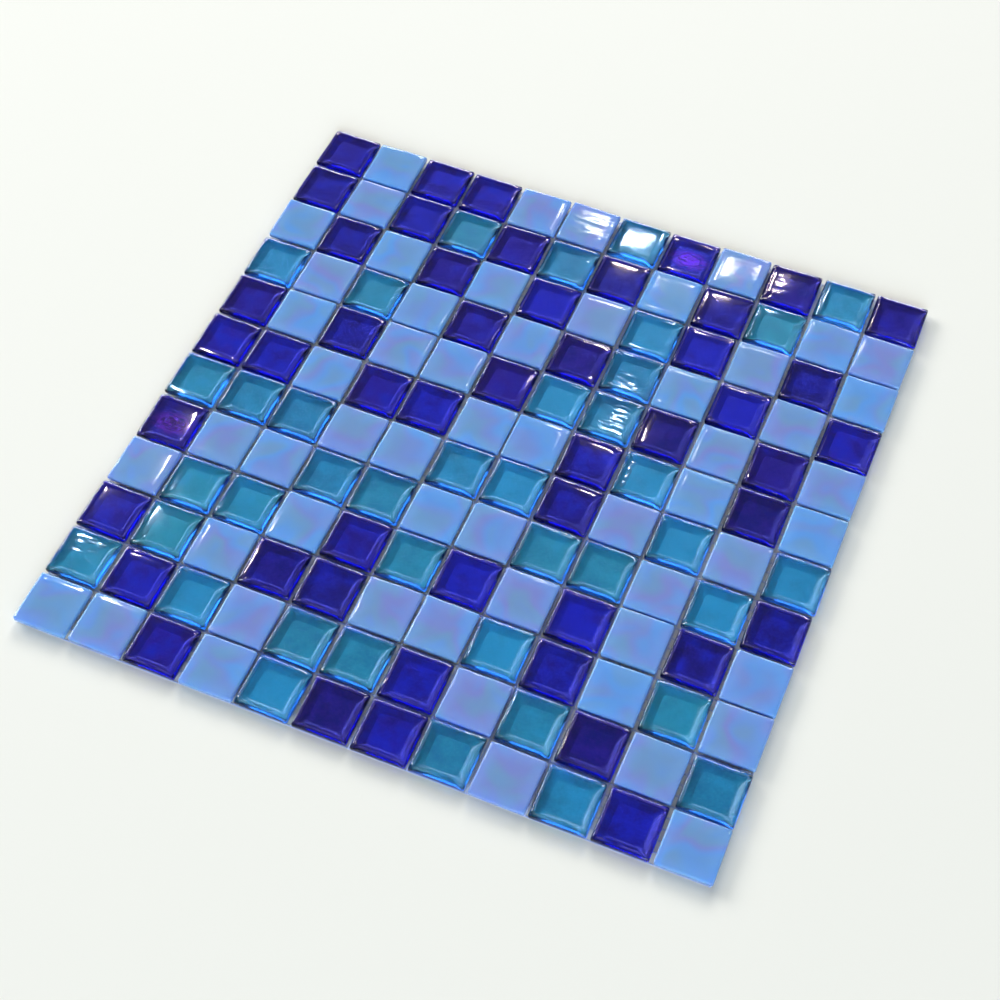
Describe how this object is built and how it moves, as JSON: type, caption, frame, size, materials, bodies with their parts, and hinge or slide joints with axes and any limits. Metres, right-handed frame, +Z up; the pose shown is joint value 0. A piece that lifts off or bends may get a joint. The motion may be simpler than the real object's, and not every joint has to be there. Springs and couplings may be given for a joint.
{
  "type": "mosaic tile sheet",
  "caption": "Flat sheet of small square glass tiles in cobalt, aqua and lustrous opal, bonded at an even narrow joint on a laid backing net, for covering walls and pools.",
  "frame": {"origin": "middle of the sheet's underside, level with the underside of the net", "axes": "+X runs along a row of tiles, +Y runs towards the first row, +Z is up out of the tiles' faces"},
  "size_m": [0.304, 0.3039, 0.0045],
  "materials": {
    "cobalt_glass": "glossy, clear deep blue with a violet lustre",
    "aqua_glass": "glossy, clear turquoise",
    "opal_glass": "satin gloss, milky pale blue with a pearly lustre",
    "net": "matt, resin-coated glass fibre"
  },
  "bodies": {
    "root": {"aqua_tiles_row_01": "aqua_glass", "aqua_tiles_row_02": "aqua_glass", "aqua_tiles_row_03": "aqua_glass", "aqua_tiles_row_04": "aqua_glass", "aqua_tiles_row_05": "aqua_glass", "aqua_tiles_row_06": "aqua_glass", "aqua_tiles_row_07": "aqua_glass", "aqua_tiles_row_08": "aqua_glass", "aqua_tiles_row_09": "aqua_glass", "aqua_tiles_row_10": "aqua_glass", "aqua_tiles_row_11": "aqua_glass", "aqua_tiles_row_12": "aqua_glass", "cobalt_tiles_row_01": "cobalt_glass", "cobalt_tiles_row_02": "cobalt_glass", "cobalt_tiles_row_03": "cobalt_glass", "cobalt_tiles_row_04": "cobalt_glass", "cobalt_tiles_row_05": "cobalt_glass", "cobalt_tiles_row_06": "cobalt_glass", "cobalt_tiles_row_07": "cobalt_glass", "cobalt_tiles_row_08": "cobalt_glass", "cobalt_tiles_row_09": "cobalt_glass", "cobalt_tiles_row_10": "cobalt_glass", "cobalt_tiles_row_11": "cobalt_glass", "cobalt_tiles_row_12": "cobalt_glass", "net_strands_along_columns": "net", "net_strands_along_rows": "net", "opal_tiles_row_01": "opal_glass", "opal_tiles_row_02": "opal_glass", "opal_tiles_row_03": "opal_glass", "opal_tiles_row_04": "opal_glass", "opal_tiles_row_05": "opal_glass", "opal_tiles_row_06": "opal_glass", "opal_tiles_row_07": "opal_glass", "opal_tiles_row_08": "opal_glass", "opal_tiles_row_09": "opal_glass", "opal_tiles_row_10": "opal_glass", "opal_tiles_row_11": "opal_glass", "opal_tiles_row_12": "opal_glass"}
  },
  "joints": []
}
